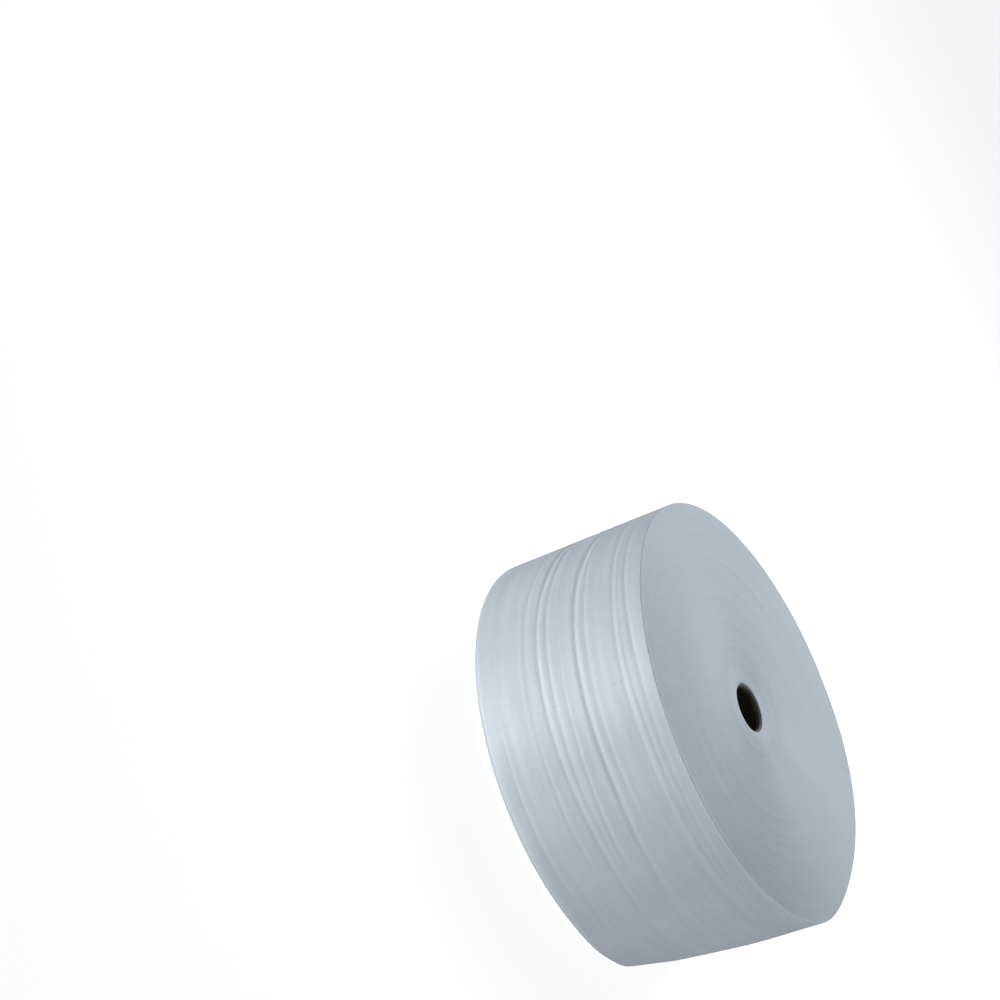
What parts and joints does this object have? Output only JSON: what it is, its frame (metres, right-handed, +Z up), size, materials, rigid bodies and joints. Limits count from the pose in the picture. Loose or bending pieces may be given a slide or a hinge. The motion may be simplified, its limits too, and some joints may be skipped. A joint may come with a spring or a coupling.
{
  "type": "foam wrap roll",
  "caption": "Wide roll of thin white closed-cell foam wrap wound on a paperboard core, standing on its end, with long tension creases round the wall.",
  "frame": {"origin": "middle of the roll's lower end, on the surface that it stands on", "axes": "+Z up along the roll's axis, out of the end that the picture shows; -Y toward the side of the wall that it shows"},
  "size_m": [0.6985, 0.6988, 0.3048],
  "materials": {
    "foam": "satin closed-cell foam, cool white",
    "core_board": "matt wound paperboard"
  },
  "bodies": {
    "root": {"foam_roll": "foam", "paper_core": "core_board"}
  },
  "joints": []
}
